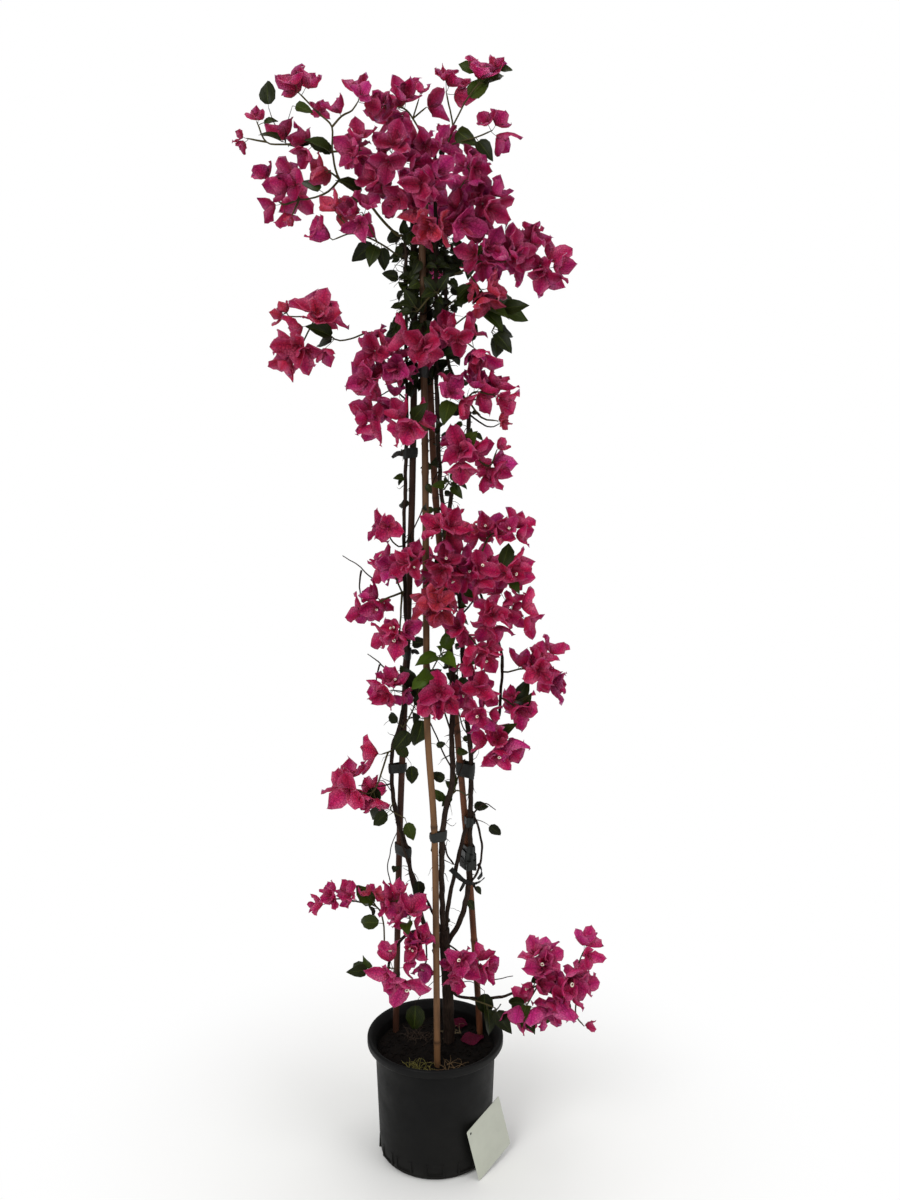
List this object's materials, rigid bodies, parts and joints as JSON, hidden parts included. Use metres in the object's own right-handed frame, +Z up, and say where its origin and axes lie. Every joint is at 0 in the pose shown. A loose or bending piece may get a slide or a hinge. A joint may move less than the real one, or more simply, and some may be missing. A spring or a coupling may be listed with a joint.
{
  "type": "potted plant",
  "caption": "Potted lesser bougainvillea with pink papery bracts, its thorny stems tied to bamboo canes in a black nursery pot with a blank card.",
  "frame": {"origin": "middle of the pot's foot, on the surface it stands on", "axes": "+Z up, the way the canes and stems climb; -Y towards the viewer of the picture; +X to the viewer's right"},
  "size_m": [0.6029, 0.2526, 1.8466],
  "materials": {
    "pot_plastic": "moulded black plastic, lightly dusty",
    "soil": null,
    "bamboo": "weathered brown bamboo",
    "bark": "rough dark bark",
    "tie_tape": "dark grey-green plastic tape",
    "card": "plain coated card",
    "bract": null,
    "foliage": null
  },
  "bodies": {
    "root": {"cane_front": "bamboo", "cane_left": "bamboo", "cane_right": "bamboo", "card_label": "card", "fallen_bract_1": "bract", "fallen_bract_2": "bract", "leaves_crown_core": "foliage", "leaves_foot": "foliage", "leaves_left_dark": "foliage", "leaves_left_low": "foliage", "leaves_right_patch": "foliage", "leaves_stem_low": "foliage", "leaves_waist_bright": "foliage", "leaves_waist_stem": "foliage", "pot": "pot_plastic", "soil": "soil", "spray_crown_back": "bract", "spray_crown_front": "bract", "spray_crown_left": "bract", "spray_crown_right": "bract", "spray_foot_front_left": "bract", "spray_foot_left_far": "bract", "spray_foot_left_inner": "bract", "spray_foot_right": "bract", "spray_inner_front": "bract", "spray_inner_right": "bract", "spray_left_cluster": "bract", "spray_left_inner": "bract", "spray_left_lower": "bract", "spray_left_single": "bract", "spray_left_upper": "bract", "spray_low_left": "bract", "spray_low_right": "bract", "spray_middle_right": "bract", "spray_right_arching": "bract", "spray_right_flowering": "bract", "spray_right_low": "bract", "spray_right_mass": "bract", "spray_right_mass_back": "bract", "spray_right_open": "bract", "spray_right_star": "bract", "spray_single_left": "bract", "spray_top_left": "bract", "spray_top_middle": "bract", "spray_top_right": "bract", "spray_waist_back": "bract", "spray_waist_front": "bract", "spray_waist_left": "bract", "spray_waist_low": "bract", "spray_waist_right": "bract", "spray_waist_right_low": "bract", "tie_crown": "tie_tape", "tie_front_low": "tie_tape", "tie_left_low": "tie_tape", "tie_left_second": "tie_tape", "tie_left_upper": "tie_tape", "tie_left_waist": "tie_tape", "tie_right_knot": "tie_tape", "tie_right_second": "tie_tape", "woody_stems": "bark"}
  },
  "joints": []
}
